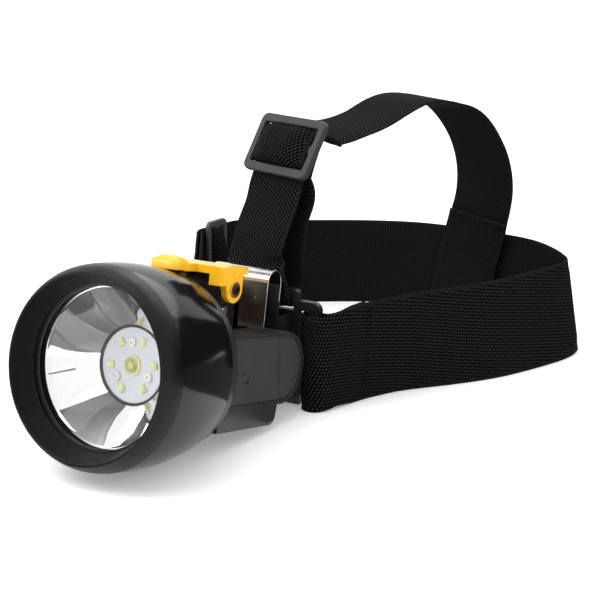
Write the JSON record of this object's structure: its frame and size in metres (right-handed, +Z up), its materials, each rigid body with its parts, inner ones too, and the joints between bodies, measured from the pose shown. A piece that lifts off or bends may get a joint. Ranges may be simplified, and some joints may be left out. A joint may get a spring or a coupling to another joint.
{
  "type": "cordless cap lamp",
  "caption": "Deep round cap lamp with a battery housing, hinged latch and steel clip hooked on the plate of an elastic headband with an overhead strap.",
  "frame": {"origin": "centre of the bounding box on the floor the lamp stands on", "axes": "+Z up, the lamp shines along -Y (tipped 12 degrees up), +X across the head towards the side with no adjuster"},
  "size_m": [0.1612, 0.2638, 0.1067],
  "materials": {
    "bezel": "gloss black, slightly rubbery",
    "lens": "clear, flat",
    "seal": "matt black",
    "reflector": "vacuum-metallised mirror",
    "white_board": "white solder mask",
    "dark_plastic": "fine moulded texture, black",
    "steel": "bright steel",
    "phosphor": "pale yellow-green phosphor",
    "led_dome": "clear silicone dome",
    "aluminium": "as machined",
    "circuit": "green solder mask",
    "housing": "satin black-brown",
    "cover": "satin dark grey",
    "contact": "gold-coloured plating",
    "cell_wrap": "plain blue sleeve",
    "button_rubber": "matt dark grey",
    "wire": "red silicone insulation",
    "latch_yellow": "warm yellow moulding",
    "plate_plastic": "dark olive-black",
    "glide_plastic": "dark grey",
    "webbing": "black twill elastic"
  },
  "bodies": {
    "headgear": {"forehead_plate": "plate_plastic", "headband": "webbing", "overhead_strap": "webbing"},
    "band_glide": {"band_adjuster": "glide_plastic", "adjuster_loop": "webbing"},
    "strap_glide": {"strap_slider": "glide_plastic", "slider_loop": "webbing"},
    "bezel_ring": {"bezel": "bezel", "lens_gasket": "seal", "front_lens": "lens"},
    "latch_lever": {"latch": "latch_yellow", "latch_eyelets": "steel"},
    "button": {"push_button": "button_rubber"},
    "lamp": {"body_seal": "seal", "reflector": "reflector", "led_board": "white_board", "board_ring": "dark_plastic", "board_screws": "steel", "main_led": "phosphor", "main_led_dome": "led_dome", "aux_leds": "phosphor", "heat_sink": "aluminium", "driver_board": "circuit", "rear_body": "housing", "side_cover_right": "cover", "side_cover_left": "cover", "bottom_block": "housing", "block_screws": "steel", "charge_contacts": "contact", "battery_cell": "cell_wrap", "contact_plate": "contact", "contact_spring": "steel", "cell_holder": "dark_plastic", "switch_board": "circuit", "lead_wires": "wire", "pivot_block": "dark_plastic", "lug_screws": "steel", "latch_pin": "steel", "leaf_spring": "steel", "steel_clip": "steel", "clip_rivets": "steel"}
  },
  "joints": [
    {"name": "lamp_lift", "type": "slide", "parent": "headgear", "child": "lamp", "axis": [0, 0, 1], "range_m": [0, 0.04]},
    {"name": "bezel_turn", "type": "hinge", "parent": "lamp", "child": "bezel_ring", "pos_m": [0.00025, -0.11786, 0.03751], "axis": [0, 0.9784, -0.2069], "range_deg": [0, 40]},
    {"name": "latch_open", "type": "hinge", "parent": "lamp", "child": "latch_lever", "pos_m": [0.00025, -0.06141, 0.05307], "axis": [-1, 0, 0], "range_deg": [0, 35]},
    {"name": "button_press", "type": "slide", "parent": "lamp", "child": "button", "axis": [1, 0, 0], "range_m": [0, 0.001], "stiffness_N_per_m": 300, "springref_m": -0.0006},
    {"name": "strap_glide_slide", "type": "slide", "parent": "headgear", "child": "strap_glide", "axis": [0.158, 0.469, 0.869], "range_m": [-0.008, 0]},
    {"name": "band_glide_slide", "type": "slide", "parent": "headgear", "child": "band_glide", "axis": [0, 1, 0], "range_m": [0, 0.003]}
  ]
}
